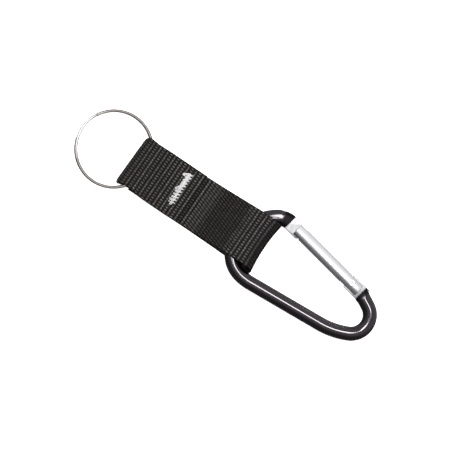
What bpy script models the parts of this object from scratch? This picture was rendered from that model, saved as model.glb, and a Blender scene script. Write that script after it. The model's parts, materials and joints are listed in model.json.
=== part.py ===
"""A webbing key holder: a sewn webbing strap with a split key ring in one loop and a small carabiner in the other.

Units are metres and +Z is up. The piece lies flat: the strap runs along X, the ring is at -X and the carabiner at +X.
X is worked out from the middle of the carabiner's wide end and then shifted, so that the origin is under the
middle of the whole object, on the surface that the strap lies on.
"""

import math

import bmesh
import bpy
from mathutils import Matrix, Vector

MM = 0.001

# Webbing, one length folded round the carabiner and the ring and sewn where its ends lap
STRAP_WIDTH = 24.2 * MM
STRAP_THICKNESS = 1.3 * MM
STRAP_LENGTH = 70.15 * MM  # fold to fold
RING_HINGE_FROM_FOLD = 17.1 * MM  # where the strap flexes behind the ring loop
CARABINER_HINGE_FROM_FOLD = 31.05 * MM  # where it flexes behind the carabiner loop
RING_CREST_LEAD = 0.6 * MM  # the top layer starts to come down this far inside the ring's edge
ROD_CREST_LEAD = 0.7 * MM  # and this far beyond the rod's centreline
LAP_END_FROM_FOLD = 6.6 * MM  # cut end under the ring loop
TAIL_END_FROM_FOLD = 32.2 * MM  # cut end of the tail inside the strap
FOLD_CORNER = 2.6 * MM  # the fold's corners are pulled in by the ring
LAP_STEP = 3.4 * MM  # over which the tail climbs onto the cut end of the lower layer
LOOP_ROOM = 0.25 * MM  # above and below the rod
RING_ROOM = 0.35 * MM  # above and below the ring
RING_FLOOR_GAP = 0.1 * MM  # under the far side of the ring, which dips to the table

# Bar tack: zigzag stitches on both faces, sunk into the webbing
TACK_FROM_FOLD = 24.8 * MM
TACK_LENGTH = 16.3 * MM  # across the strap
TACK_WIDTH = 4.2 * MM
TACK_OFFSET = 0.6 * MM
TACK_STITCHES = 22
THREAD_DIAMETER = 0.55 * MM
TACK_DEPTH = 0.7 * MM
TACK_MARGIN = 0.3 * MM

# Carabiner frame, a bent round rod
ROD_DIAMETER = 6.2 * MM
EDGE_ROOM = 0.6 * MM  # between the strap's edge and the rod inside the wide end
END_SPACING = 45.15 * MM  # between the centres of the wide and the narrow end
NARROW_RADIUS = 8.2 * MM
SPINE_RISE = math.radians(4.0)
SPINE_BOW = 1.96 * MM
SPINE_BEND_RADIUS = 34.7 * MM
NOSE_ANGLE = math.radians(87.0)
SHOULDER_PRESS = 4.2 * MM  # how strongly the wide end is flattened behind the nose
SHOULDER_START = 0.24  # cosine of the angle behind the nose where that begins
HEEL_FULLNESS = 0.39 * MM  # how far it stands out before it meets the spine
HEEL_START = math.radians(205.0)
HINGE_BACK = 1.7 * MM  # the hinge shoulder's place, from the narrow end's centre
HINGE_ABOVE = 1.98 * MM
END_SWELL = 1.1  # the rod's ends are swaged a little thicker
SWELL_LENGTH = 2.2 * MM

# Flat tongues that the gate's forked ends straddle
TONGUE_WIDTH = 6.8 * MM
TONGUE_THICKNESS = 2.0 * MM
TONGUE_ROOT = 3.0 * MM
NOSE_TONGUE_OUTER = 4.4 * MM
NOSE_TONGUE_INNER = 7.6 * MM
TIP_ROUND = 0.7 * MM

# Gate, a forked rod on a rivet, closed by a spring and a plunger in its bore
GATE_DIAMETER = 5.9 * MM
GATE_CHAMFER = 0.25 * MM
NOSE_GAP = 4.2 * MM  # from the nose shoulder to the gate's end
HINGE_GAP = 1.4 * MM
SLOT_CLEARANCE = 0.2 * MM  # each side of a tongue
TIP_CLEARANCE = 0.3 * MM
PIVOT_FROM_SHOULDER = 5.85 * MM
PIVOT_OFFSET = 0.3 * MM  # outwards from the gate's axis
PIVOT_TO_TIP = 1.75 * MM
STOP_CLEARANCE = 0.15 * MM
OPEN_ROOM = 2.8 * MM  # how much deeper the hinge slot is on its inner side
RIVET_DIAMETER = 2.0 * MM
RIVET_HEAD_DIAMETER = 2.6 * MM
RIVET_HEAD_THICKNESS = 0.7 * MM
RIVET_CLEARANCE = 0.08 * MM
PLUNGER_DIAMETER = 2.0 * MM
PLUNGER_LENGTH = 3.5 * MM
PLUNGER_GAP = 0.12 * MM
BORE_CLEARANCE = 0.15 * MM
SPRING_LENGTH = 10.0 * MM
SPRING_WIRE = 0.34 * MM
SPRING_TURNS = 8

# Split ring, two flat turns of wire
RING_DIAMETER = 35.0 * MM
RING_WIRE = 1.3 * MM
COIL_GAP = 0.1 * MM
RING_SIDEWAYS = -1.0 * MM
FOLD_SETBACK = 1.23 * MM  # from the outside of the fold to where the ring's inside leaves the strap's corner
CROSSOVER = math.radians(34.0)

# Derived sizes
ROD_RADIUS = ROD_DIAMETER / 2
GATE_RADIUS = GATE_DIAMETER / 2
WIDE_RADIUS = STRAP_WIDTH / 2 + EDGE_ROOM + ROD_RADIUS
WIDE_INNER = WIDE_RADIUS - ROD_RADIUS
NARROW_Y = (NARROW_RADIUS + SPINE_BOW - WIDE_RADIUS + END_SPACING * math.sin(SPINE_RISE)) / math.cos(SPINE_RISE)
CARABINER_CREST = -WIDE_RADIUS - ROD_CREST_LEAD
RING_INNER = RING_DIAMETER / 2 - RING_WIRE
RING_TO_FOLD = math.sqrt(RING_INNER**2 - (STRAP_WIDTH / 2 + abs(RING_SIDEWAYS)) ** 2) - FOLD_SETBACK
RING_SIDE_CREST = RING_DIAMETER / 2 - RING_TO_FOLD - RING_CREST_LEAD
CARABINER_FOLD = -math.sqrt(WIDE_INNER**2 - (STRAP_WIDTH / 2) ** 2) + EDGE_ROOM + STRAP_THICKNESS
RING_FOLD = CARABINER_FOLD - STRAP_LENGTH
RING_X = RING_FOLD - RING_TO_FOLD
RING_HEIGHT = 2 * RING_WIRE + COIL_GAP
RING_TILT = math.asin((2 * STRAP_THICKNESS + RING_ROOM - RING_FLOOR_GAP) / RING_DIAMETER)
LEFT_END = RING_X - (RING_DIAMETER - RING_WIRE) / 2 * math.cos(RING_TILT)
LEFT_END -= (RING_WIRE + COIL_GAP) / 2 * math.sin(RING_TILT) + RING_WIRE / 2
RIGHT_END = END_SPACING + NARROW_RADIUS + ROD_RADIUS
SHIFT = -(LEFT_END + RIGHT_END) / 2
ROD_Z = STRAP_THICKNESS + LOOP_ROOM + ROD_RADIUS
RING_Z = RING_FLOOR_GAP + RING_HEIGHT / 2 * math.cos(RING_TILT) + RING_DIAMETER / 2 * math.sin(RING_TILT)
TWO_LAYERS = 2 * STRAP_THICKNESS
THREE_LAYERS = 3 * STRAP_THICKNESS
CARABINER_LOOP_TOP = 2 * ROD_Z
RING_LOOP_TOP = THREE_LAYERS + 2 * RING_ROOM + RING_HEIGHT
FOLD_TOP = RING_LOOP_TOP - RING_SIDE_CREST * math.tan(RING_TILT)
RING_HINGE_X = RING_FOLD + RING_HINGE_FROM_FOLD
CARABINER_HINGE_X = CARABINER_FOLD - CARABINER_HINGE_FROM_FOLD
HINGE_CLEARANCE = 0.3 * MM

NOSE = Vector((math.cos(NOSE_ANGLE), math.sin(NOSE_ANGLE))) * WIDE_RADIUS
NARROW_CENTRE = Vector((END_SPACING, NARROW_Y))
HINGE = NARROW_CENTRE + Vector((-HINGE_BACK, NARROW_RADIUS + HINGE_ABOVE))
GATE_DIRECTION = (HINGE - NOSE).normalized()
OPENING = (HINGE - NOSE).length
# The gate frame's X runs along the gate from the nose shoulder to the hinge, its Y points outwards, away from the spine
GATE_FRAME = Matrix.Translation((NOSE.x + SHIFT, NOSE.y, ROD_Z)) @ Matrix.Rotation(
    math.atan2(GATE_DIRECTION.y, GATE_DIRECTION.x), 4, "Z"
)
PIVOT_X = OPENING - PIVOT_FROM_SHOULDER
FLAT = Matrix.Translation((SHIFT, 0, 0))
# An outline drawn in X and Z stands up and is extruded across the strap
STANDING = FLAT @ Matrix.Rotation(math.radians(90), 4, "X")


def clear_scene():
    for obj in list(bpy.data.objects):
        bpy.data.objects.remove(obj, do_unlink=True)


def collection(name):
    made = bpy.data.collections.new(name)
    bpy.context.scene.collection.children.link(made)
    return made


def material(name, colour, roughness, metallic=0.0):
    made = bpy.data.materials.new(name)
    made.use_nodes = True
    shader = made.node_tree.nodes["Principled BSDF"]
    shader.inputs["Base Color"].default_value = (*colour, 1.0)
    shader.inputs["Roughness"].default_value = roughness
    shader.inputs["Metallic"].default_value = metallic
    return made


def place(name, data, matrix, look, group):
    """A new object holding data, at matrix, in a collection."""
    obj = bpy.data.objects.new(name, data)
    obj.matrix_world = matrix
    if look:
        data.materials.append(look)
    group.objects.link(obj)
    return obj


def as_cutter(obj):
    obj.hide_render = True
    obj.display_type = "WIRE"
    return obj


def arc(centre, radius, start, end, step=math.radians(6)):
    """Points along an arc, both ends included."""
    count = max(2, math.ceil(abs(end - start) / step))
    angles = [start + (end - start) * i / count for i in range(count + 1)]
    return [Vector((centre[0] + radius * math.cos(a), centre[1] + radius * math.sin(a))) for a in angles]


def rounded(corners, step=math.radians(12)):
    """A closed outline through (x, y, radius) corners, each replaced by an arc of its radius."""
    outline = []
    for i, (x, y, radius) in enumerate(corners):
        here = Vector((x, y))
        before = (Vector(corners[i - 1][:2]) - here).normalized()
        after = (Vector(corners[(i + 1) % len(corners)][:2]) - here).normalized()
        half = before.angle(after) / 2
        if radius <= 0 or half > math.radians(89.5):
            outline.append(here)
            continue
        centre = here + (before + after).normalized() * (radius / math.sin(half))
        first = here + before * (radius / math.tan(half)) - centre
        last = here + after * (radius / math.tan(half)) - centre
        turn = first.angle_signed(last)
        count = max(1, math.ceil(abs(turn) / step))
        outline += [centre + Matrix.Rotation(-turn * k / count, 2) @ first for k in range(count + 1)]
    return outline


def polyline(curve, points, closed):
    spline = curve.splines.new("POLY")
    spline.points.add(len(points) - 1)
    for target, point in zip(spline.points, points):
        target.co = (point[0], point[1], point[2] if len(point) > 2 else 0.0, 1.0)
    spline.use_cyclic_u = closed
    return spline


def plate(name, outlines, thickness, matrix, look, group):
    """Closed outlines in a plane, the later ones holes in the first, extruded to a plate and made a mesh."""
    curve = bpy.data.curves.new(name, "CURVE")
    curve.dimensions = "2D"
    curve.fill_mode = "BOTH"
    curve.extrude = thickness / 2
    for outline in outlines:
        polyline(curve, outline, True)
    return to_mesh(place(name, curve, matrix, look, group))


def rod(name, points, radius, sides_step, matrix, look, group, swell=None):
    """A round bar along 3-D points, with filled ends. swell gives each point's share of the radius."""
    curve = bpy.data.curves.new(name, "CURVE")
    curve.dimensions = "3D"
    curve.bevel_depth = radius
    curve.bevel_resolution = sides_step
    curve.use_fill_caps = True
    spline = polyline(curve, points, False)
    for target, share in zip(spline.points, swell or []):
        target.radius = share
    return to_mesh(place(name, curve, matrix, look, group))


def to_mesh(obj):
    """The curve's evaluated mesh with its caps welded, in a new object in its place."""
    graph = bpy.context.evaluated_depsgraph_get()
    mesh = bpy.data.meshes.new_from_object(obj.evaluated_get(graph))
    shape = bmesh.new()
    shape.from_mesh(mesh)
    bmesh.ops.remove_doubles(shape, verts=shape.verts, dist=0.001 * MM)
    bmesh.ops.recalc_face_normals(shape, faces=shape.faces)
    shape.to_mesh(mesh)
    shape.free()
    name = obj.name
    matrix = obj.matrix_world.copy()
    group = obj.users_collection[0]
    bpy.data.objects.remove(obj, do_unlink=True)
    made = bpy.data.objects.new(name, mesh)
    made.matrix_world = matrix
    group.objects.link(made)
    mesh.shade_smooth()
    mesh.set_sharp_from_angle(angle=math.radians(35))
    return made


def turned(name, profile, matrix, look, group, steps=24):
    """A (radius, z) profile, top to bottom on the outside, turned about Z."""
    mesh = bpy.data.meshes.new(name)
    mesh.from_pydata([(r, 0, z) for r, z in profile], [(i, i + 1) for i in range(len(profile) - 1)], [])
    obj = place(name, mesh, matrix, look, group)
    screw = obj.modifiers.new("Turn", "SCREW")
    screw.steps = steps
    screw.render_steps = steps
    screw.use_merge_vertices = True
    screw.merge_threshold = 0.001 * MM
    screw.use_smooth_shade = True
    return obj


def box(name, low, high, matrix, group):
    """A cutter box between two corners of the given frame."""
    bpy.ops.mesh.primitive_cube_add(size=1)
    obj = bpy.context.object
    obj.name = name
    low, high = Vector(low), Vector(high)
    obj.data.transform(Matrix.Translation((low + high) / 2) @ Matrix.Diagonal((*(high - low), 1)))
    obj.matrix_world = matrix
    for old in obj.users_collection:
        old.objects.unlink(obj)
    group.objects.link(obj)
    return as_cutter(obj)


def combine(obj, other, operation="DIFFERENCE"):
    modifier = obj.modifiers.new(f"{operation.title()} {other.name}", "BOOLEAN")
    modifier.operation = operation
    modifier.object = other
    as_cutter(other)


def wide_end():
    """An arc that is flattened behind the nose and a little fuller before the spine."""
    path = []
    for point in arc((0, 0), WIDE_RADIUS, NOSE_ANGLE - math.radians(8), 1.5 * math.pi + SPINE_RISE):
        angle = math.atan2(point.y, point.x) % (2 * math.pi)
        behind = max(0.0, -math.cos(angle) - SHOULDER_START)
        fade = math.cos(min(max(angle - math.radians(120), 0.0), math.pi / 2)) ** 2
        pressed = SHOULDER_PRESS * behind**2 / (behind + 0.03) * fade
        heel = min(max((angle - HEEL_START) / (1.5 * math.pi - HEEL_START), 0.0), 1.0)
        fuller = HEEL_FULLNESS * math.sin(math.pi * heel) ** 2
        path.append(point * (1 - (pressed - fuller) / WIDE_RADIUS))
    return path


def frame_path():
    """The rod's centreline, from past the nose shoulder round the wide end, along the spine and past the hinge."""
    path = wide_end()
    along = Vector((math.cos(SPINE_RISE), math.sin(SPINE_RISE)))
    inward = Vector((-along.y, along.x))
    start = -inward * WIDE_RADIUS
    reach = along.dot(NARROW_CENTRE - start)
    bend = SPINE_BEND_RADIUS
    back = math.sqrt((bend - NARROW_RADIUS) ** 2 - (bend - NARROW_RADIUS - SPINE_BOW) ** 2)
    bend_start = start + along * (reach - back)
    bend_centre = bend_start + inward * bend
    middle = (start + bend_start) / 2
    toward = NARROW_CENTRE - bend_centre
    join = math.atan2(toward.y, toward.x)
    to_hinge = HINGE - NARROW_CENTRE
    side = math.acos(NARROW_RADIUS / to_hinge.length)
    leave = math.atan2(to_hinge.y, to_hinge.x) - side
    path += [middle]
    path += arc(bend_centre, bend, SPINE_RISE - math.pi / 2, join)
    path += arc(NARROW_CENTRE, NARROW_RADIUS, join, leave, math.radians(9))[1:]
    arm = (HINGE - path[-1]).normalized()
    path += [HINGE - arm * SWELL_LENGTH, HINGE, HINGE + arm * SWELL_LENGTH]
    return path


def make_frame(parts, cutters, look):
    path = frame_path()
    swell = [1.0] * len(path)
    nose_share = [1.0 - (p - NOSE).length / SWELL_LENGTH for p in path]
    hinge_share = [1.0 - (p - HINGE).length / SWELL_LENGTH for p in path]
    for i, (at_nose, at_hinge) in enumerate(zip(nose_share, hinge_share)):
        swell[i] += (END_SWELL - 1.0) * max(0.0, at_nose, at_hinge)
    swell[0] = END_SWELL
    swell[-1] = END_SWELL
    points = [(p.x, p.y, ROD_Z) for p in path]
    frame = rod("carabiner_frame", points, ROD_RADIUS, 8, FLAT, look, parts, swell)
    half = 2 * ROD_DIAMETER / 2
    combine(frame, box("gate_gap_cutter", (0, -half, -half), (OPENING, half, half), GATE_FRAME, cutters))
    edge = TONGUE_WIDTH / 2
    root = 0.4 * TONGUE_WIDTH
    lap = 0.25 * MM
    nose = rounded(
        [
            (-TONGUE_ROOT, -root, 0),
            (-lap, -root, 0),
            (-lap, -edge, 0),
            (NOSE_TONGUE_INNER, -edge, TIP_ROUND),
            (NOSE_TONGUE_OUTER, edge, TIP_ROUND),
            (-lap, edge, 0),
            (-lap, root, 0),
            (-TONGUE_ROOT, root, 0),
        ]
    )
    tip = PIVOT_X - PIVOT_TO_TIP
    hinge = rounded(
        [
            (tip, -edge, TIP_ROUND / 2),
            (OPENING + lap, -edge, 0),
            (OPENING + lap, -root, 0),
            (OPENING + TONGUE_ROOT, -root, 0),
            (OPENING + TONGUE_ROOT, root, 0),
            (OPENING + lap, root, 0),
            (OPENING + lap, edge, 0),
            (tip, edge, TIP_ROUND / 2),
        ]
    )
    for name, outline in (("nose_tongue", nose), ("hinge_tongue", hinge)):
        tongue = plate(name, [outline], TONGUE_THICKNESS, GATE_FRAME, None, cutters)
        combine(frame, tongue, "UNION")
    hole = RIVET_DIAMETER / 2 + RIVET_CLEARANCE
    reach = ROD_DIAMETER
    bore = turned("rivet_hole_cutter", cylinder_profile(hole, reach), pivot_frame(), None, cutters)
    combine(frame, bore)
    return frame


def cylinder_profile(radius, half_length):
    return [(0, half_length), (radius, half_length), (radius, -half_length), (0, -half_length)]


def pivot_frame():
    return GATE_FRAME @ Matrix.Translation((PIVOT_X, PIVOT_OFFSET, 0))


def rivet_profile(extra=0.0, longer=0.0):
    """The rivet's outline, or with extra, that of its hole."""
    shaft = RIVET_DIAMETER / 2 + extra
    head = RIVET_HEAD_DIAMETER / 2 + extra
    top = GATE_RADIUS + longer
    seat = GATE_RADIUS - RIVET_HEAD_THICKNESS - extra
    crown = 0.12 * MM
    return [
        (0, top),
        (head - crown, top),
        (head, top - crown),
        (head, seat),
        (shaft, seat),
        (shaft, -seat),
        (head, -seat),
        (head, crown - top),
        (head - crown, -top),
        (0, -top),
    ]


def make_gate(parts, cutters, look):
    length = OPENING - NOSE_GAP - HINGE_GAP
    lying = Matrix.Rotation(math.radians(90), 4, "Y")
    bpy.ops.mesh.primitive_cylinder_add(vertices=40, radius=GATE_RADIUS, depth=length)
    gate = bpy.context.object
    gate.name = "gate"
    gate.data.transform(lying)
    gate.data.transform(Matrix.Translation((NOSE_GAP + length / 2 - PIVOT_X, -PIVOT_OFFSET, 0)))
    gate.matrix_world = pivot_frame()
    gate.data.materials.append(look)
    for old in gate.users_collection:
        old.objects.unlink(gate)
    parts.objects.link(gate)
    gate.data.shade_smooth()
    gate.data.set_sharp_from_angle(angle=math.radians(35))
    chamfer = gate.modifiers.new("Chamfer", "BEVEL")
    chamfer.width = GATE_CHAMFER
    chamfer.segments = 2
    chamfer.limit_method = "ANGLE"
    beyond = 2 * GATE_DIAMETER
    half_slot = TONGUE_THICKNESS / 2 + SLOT_CLEARANCE
    nose_slot = box(
        "nose_slot_cutter",
        (NOSE_GAP - beyond, -beyond, -half_slot),
        (NOSE_TONGUE_INNER + TIP_CLEARANCE, beyond, half_slot),
        GATE_FRAME,
        cutters,
    )
    combine(gate, nose_slot)
    outer = TONGUE_WIDTH / 2 + 0.2 * MM
    tip = PIVOT_X - PIVOT_TO_TIP
    floor = [
        (tip - STOP_CLEARANCE, outer),
        (tip - STOP_CLEARANCE - OPEN_ROOM, -outer),
        (OPENING + beyond, -outer),
        (OPENING + beyond, outer),
    ]
    hinge_slot = plate("hinge_slot_cutter", [floor], 2 * half_slot, GATE_FRAME, None, cutters)
    combine(gate, hinge_slot)
    bore_radius = PLUNGER_DIAMETER / 2 + BORE_CLEARANCE
    bore_end = tip - PLUNGER_GAP - PLUNGER_LENGTH - SPRING_LENGTH - 2 * BORE_CLEARANCE
    half = (tip - bore_end) / 2
    along = GATE_FRAME @ Matrix.Translation((tip - half, 0, 0)) @ lying
    combine(gate, turned("spring_bore_cutter", cylinder_profile(bore_radius, half), along, None, cutters))
    seat = rivet_profile(RIVET_CLEARANCE, GATE_RADIUS)
    combine(gate, turned("rivet_seat_cutter", seat, pivot_frame(), None, cutters))
    return gate


def make_gate_fittings(parts, look):
    """The rivet, and the plunger and its spring in the gate's bore."""
    turned("gate_rivet", rivet_profile(), pivot_frame(), look, parts)
    tip = PIVOT_X - PIVOT_TO_TIP - PLUNGER_GAP
    radius = PLUNGER_DIAMETER / 2
    dome = [(radius * math.sin(a), radius * math.cos(a) - radius) for a in (math.pi / 12 * i for i in range(7))]
    lying = Matrix.Rotation(math.radians(90), 4, "Y")
    at_tip = GATE_FRAME @ Matrix.Translation((tip, 0, 0)) @ lying
    turned("spring_plunger", dome + [(radius, -PLUNGER_LENGTH), (0, -PLUNGER_LENGTH)], at_tip, look, parts, 20)
    wire = SPRING_WIRE / 2
    coil = PLUNGER_DIAMETER / 2 - wire
    start = tip - PLUNGER_LENGTH - BORE_CLEARANCE - wire
    run = SPRING_LENGTH - SPRING_WIRE
    steps = 10 * SPRING_TURNS
    points = []
    for i in range(steps + 1):
        turn = 2 * math.pi * i / 10
        points.append((start - run * i / steps, coil * math.cos(turn), coil * math.sin(turn)))
    rod("gate_spring", points, wire, 2, GATE_FRAME, look, parts)


def make_ring(parts, look):
    """Two turns of wire: the first turn steps up to the second over the crossover, where the two ends stop."""
    radius = (RING_DIAMETER - RING_WIRE) / 2
    rise = RING_WIRE + COIL_GAP
    total = 4 * math.pi - CROSSOVER - 2 * RING_WIRE / radius
    cross_start = 2 * math.pi - CROSSOVER
    steps = 100
    points = []
    for i in range(steps + 1):
        turn = total * i / steps
        share = min(1.0, max(0.0, (turn - cross_start) / CROSSOVER))
        height = rise * (share * share * (3 - 2 * share) - 0.5)
        points.append((radius * math.cos(turn), radius * math.sin(turn), height))
    tilted = Matrix.Rotation(-RING_TILT, 4, "Y") @ Matrix.Rotation(math.pi, 4, "Z")
    centre = Matrix.Translation((RING_X + SHIFT, RING_SIDEWAYS, RING_Z)) @ tilted
    rod("split_ring", points, RING_WIRE / 2, 3, centre, look, parts)


def make_ring_loop(parts, cutters, look):
    """The strap's ring end: the top layer folded round the ring, over the cut end of the lower layer."""
    top = RING_LOOP_TOP
    thick = STRAP_THICKNESS
    crest = RING_FOLD + RING_SIDE_CREST
    end = RING_HINGE_X + THREE_LAYERS / 2
    rise = RING_HINGE_X - 1.5 * MM
    lap = RING_FOLD + LAP_END_FROM_FOLD
    outer = rounded(
        [
            (end, THREE_LAYERS, THREE_LAYERS / 2),
            (rise, THREE_LAYERS, 3 * MM),
            (crest, top, 3 * MM),
            (RING_FOLD, FOLD_TOP, FOLD_TOP * 0.48),
            (RING_FOLD, 0, FOLD_TOP * 0.4),
            (lap - LAP_STEP, 0, 0.5 * MM),
            (lap, thick * 0.9, 0),
            (lap, 0, 0),
            (end, 0, THREE_LAYERS / 2),
        ]
    )
    inner_round = 1.0 * MM
    cavity = rounded(
        [
            (rise - thick, TWO_LAYERS, 0),
            (rise - thick, TWO_LAYERS + 0.2 * MM, 0),
            (crest, top - thick, 3 * MM),
            (RING_FOLD + thick, FOLD_TOP - thick, inner_round),
            (RING_FOLD + thick, thick, inner_round),
            (lap - LAP_STEP + thick / 4, thick, 0.5 * MM),
            (lap, TWO_LAYERS, 0.5 * MM),
        ]
    )
    loop = plate("webbing_ring_loop", [outer, cavity], STRAP_WIDTH, STANDING, look, parts)
    reach = STRAP_WIDTH
    for side in (-1, 1):
        corner = Vector((RING_FOLD, side * STRAP_WIDTH / 2))
        cut = [
            corner + Vector((-reach, -side * (reach + FOLD_CORNER))),
            corner + Vector((reach, side * (reach - FOLD_CORNER))),
            corner + Vector((-reach, side * (reach - FOLD_CORNER))),
        ]
        combine(loop, plate(f"fold_corner_cutter_{side}", [cut], 4 * top, FLAT, None, cutters))
    return loop


def make_carabiner_loop(parts, look):
    """The strap's other end, folded round the carabiner's wide end."""
    top = CARABINER_LOOP_TOP
    thick = STRAP_THICKNESS
    crest = CARABINER_CREST
    end = CARABINER_HINGE_X - TWO_LAYERS / 2
    rise = CARABINER_HINGE_X + 1.5 * MM
    outer = rounded(
        [
            (end, 0, TWO_LAYERS / 2),
            (CARABINER_FOLD, 0, top / 2),
            (CARABINER_FOLD, top, top / 2),
            (crest, top, 4 * MM),
            (rise, TWO_LAYERS, 4 * MM),
            (end, TWO_LAYERS, TWO_LAYERS / 2),
        ]
    )
    cavity = rounded(
        [
            (rise + thick, thick, 0),
            (CARABINER_FOLD - thick, thick, top / 2 - thick),
            (CARABINER_FOLD - thick, top - thick, top / 2 - thick),
            (crest, top - thick, 4 * MM),
            (rise + thick, thick + 0.3 * MM, 0),
        ]
    )
    return plate("webbing_carabiner_loop", [outer, cavity], STRAP_WIDTH, STANDING, look, parts)


def make_strap(parts, cutters, look):
    """The strap between its two flexing places: three layers where the ends lap, then two."""
    left = RING_HINGE_X + THREE_LAYERS / 2 + HINGE_CLEARANCE
    right = CARABINER_HINGE_X - TWO_LAYERS / 2 - HINGE_CLEARANCE
    tail = RING_FOLD + TAIL_END_FROM_FOLD
    outline = rounded(
        [
            (left, 0, 0.2 * MM),
            (right, 0, 0.2 * MM),
            (right, TWO_LAYERS, 0.2 * MM),
            (tail + STRAP_THICKNESS, TWO_LAYERS, 1.0 * MM),
            (tail, THREE_LAYERS, 1.0 * MM),
            (left, THREE_LAYERS, 0.2 * MM),
        ]
    )
    strap = plate("webbing_strap", [outline], STRAP_WIDTH, STANDING, look, parts)
    half_x = TACK_WIDTH / 2 + TACK_MARGIN
    half_y = TACK_LENGTH / 2 + TACK_MARGIN
    middle = RING_FOLD + TACK_FROM_FOLD
    for name, low, high in (
        ("top", THREE_LAYERS - TACK_DEPTH, 2 * THREE_LAYERS),
        ("under", -THREE_LAYERS, TACK_DEPTH),
    ):
        low_corner = (middle - half_x, TACK_OFFSET - half_y, low)
        high_corner = (middle + half_x, TACK_OFFSET + half_y, high)
        combine(strap, box(f"tack_{name}_cutter", low_corner, high_corner, FLAT, cutters))
    return strap


def make_tack(parts, look):
    """The needle thread's zigzag on the top and the bobbin thread's under the strap."""
    middle = RING_FOLD + TACK_FROM_FOLD
    radius = THREAD_DIAMETER / 2
    half_x = TACK_WIDTH / 2 - radius
    run = TACK_LENGTH - THREAD_DIAMETER
    lift = TACK_DEPTH / 2
    for name, height in (("bar_tack_needle_thread", THREE_LAYERS - lift), ("bar_tack_bobbin_thread", lift)):
        points = []
        for i in range(TACK_STITCHES + 1):
            side = 1 if i % 2 else -1
            y = TACK_OFFSET - run / 2 + run * i / TACK_STITCHES
            points.append((middle + side * half_x, y, height))
        rod(name, points, radius, 2, FLAT, look, parts)


def main():
    clear_scene()
    parts = collection("carabiner_keyring")
    cutters = collection("cutters")
    anodised = material("black_anodised_aluminium", (0.012, 0.012, 0.014), 0.22, 0.6)
    aluminium = material("polished_aluminium", (0.80, 0.80, 0.82), 0.28, 1.0)
    steel = material("nickel_plated_steel", (0.62, 0.60, 0.58), 0.2, 1.0)
    webbing = material("black_webbing", (0.018, 0.018, 0.019), 0.75)
    thread = material("white_thread", (0.86, 0.86, 0.87), 0.6)
    make_frame(parts, cutters, anodised)
    make_gate(parts, cutters, aluminium)
    make_gate_fittings(parts, steel)
    make_ring(parts, steel)
    make_ring_loop(parts, cutters, webbing)
    make_strap(parts, cutters, webbing)
    make_carabiner_loop(parts, webbing)
    make_tack(parts, thread)


main()
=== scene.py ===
"""The looks of a webbing key holder: woven webbing, stitches, split ring, carabiner rod and gate."""

import json
import math

import bmesh
import bpy
import numpy as np
from mathutils import Matrix, Vector


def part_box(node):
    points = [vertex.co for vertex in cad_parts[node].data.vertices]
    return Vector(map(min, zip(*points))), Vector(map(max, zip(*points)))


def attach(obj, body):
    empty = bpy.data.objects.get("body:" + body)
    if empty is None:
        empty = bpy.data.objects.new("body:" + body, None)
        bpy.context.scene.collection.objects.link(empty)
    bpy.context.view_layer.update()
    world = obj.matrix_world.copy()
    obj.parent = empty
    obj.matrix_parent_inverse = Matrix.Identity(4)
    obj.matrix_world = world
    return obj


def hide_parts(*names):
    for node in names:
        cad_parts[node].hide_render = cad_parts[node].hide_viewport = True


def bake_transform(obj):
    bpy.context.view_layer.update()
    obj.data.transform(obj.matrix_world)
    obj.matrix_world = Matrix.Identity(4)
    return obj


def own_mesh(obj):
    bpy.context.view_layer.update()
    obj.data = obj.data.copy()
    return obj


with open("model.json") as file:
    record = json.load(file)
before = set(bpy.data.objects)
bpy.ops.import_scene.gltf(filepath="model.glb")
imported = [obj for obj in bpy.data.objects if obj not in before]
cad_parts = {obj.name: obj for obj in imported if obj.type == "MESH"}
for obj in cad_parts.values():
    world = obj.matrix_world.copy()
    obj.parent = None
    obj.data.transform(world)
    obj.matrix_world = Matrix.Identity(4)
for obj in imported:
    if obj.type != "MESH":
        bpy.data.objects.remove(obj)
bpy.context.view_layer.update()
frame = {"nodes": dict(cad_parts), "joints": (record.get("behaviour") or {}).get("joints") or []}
MM = 0.001

JOINTS = {j["name"]: j for j in frame["joints"]}
RING_LOOP_LO, RING_LOOP_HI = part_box("webbing_ring_loop")
CAR_LOOP_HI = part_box("webbing_carabiner_loop")[1]
TACK_LO, TACK_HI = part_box("bar_tack_needle_thread")
PIVOT = Vector(JOINTS["gate_hinge"]["pos_m"]) / MM
SWIVEL = Vector(JOINTS["carabiner_swivel"]["pos_m"]) / MM
RING_CENTRE = Vector(JOINTS["ring_spin"]["pos_m"]) / MM
RING_AXIS = Vector(JOINTS["ring_spin"]["axis"])
RING_HINGE_X = JOINTS["ring_swing"]["pos_m"][0] / MM
CAR_HINGE_X = JOINTS["carabiner_swing"]["pos_m"][0] / MM
ALONG_GATE = -Vector(JOINTS["plunger_slide"]["axis"])

FOLD_LEFT = RING_LOOP_LO.x / MM
FOLD_RIGHT = CAR_LOOP_HI.x / MM
LOOP_TOP = CAR_LOOP_HI.z / MM
RING_LOOP_TOP = RING_LOOP_HI.z / MM
# The webbing in millimetres: one layer, its width, and SPREAD, which measures across it are divided by
LAYER = 1.3
HALF = LAYER / 2
WIDTH = 24.2
SPREAD = 12.2
# The weave: the pitch of its rows and of the yarns in a row, the flat thickness and the yarns' height on it
ROW = 1.88
BUMP_PITCH = 1.26
CORE = 0.36
BUMP = 0.27
RNG = np.random.RandomState(11)
BUMP_JITTER = RNG.uniform(-1, 1, (128, 64))
ROW_JITTER = RNG.uniform(-1, 1, 128)


# ---------------------------------------------------------------- materials


def nodes_of(name):
    mat = bpy.data.materials.new(name)
    mat.use_nodes = True
    tree = mat.node_tree
    return mat, tree, tree.nodes["Principled BSDF"]


def add(tree, kind, **inputs):
    node = tree.nodes.new(kind)
    for key, value in inputs.items():
        node.inputs[key.replace("_", " ")].default_value = value
    return node


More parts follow.
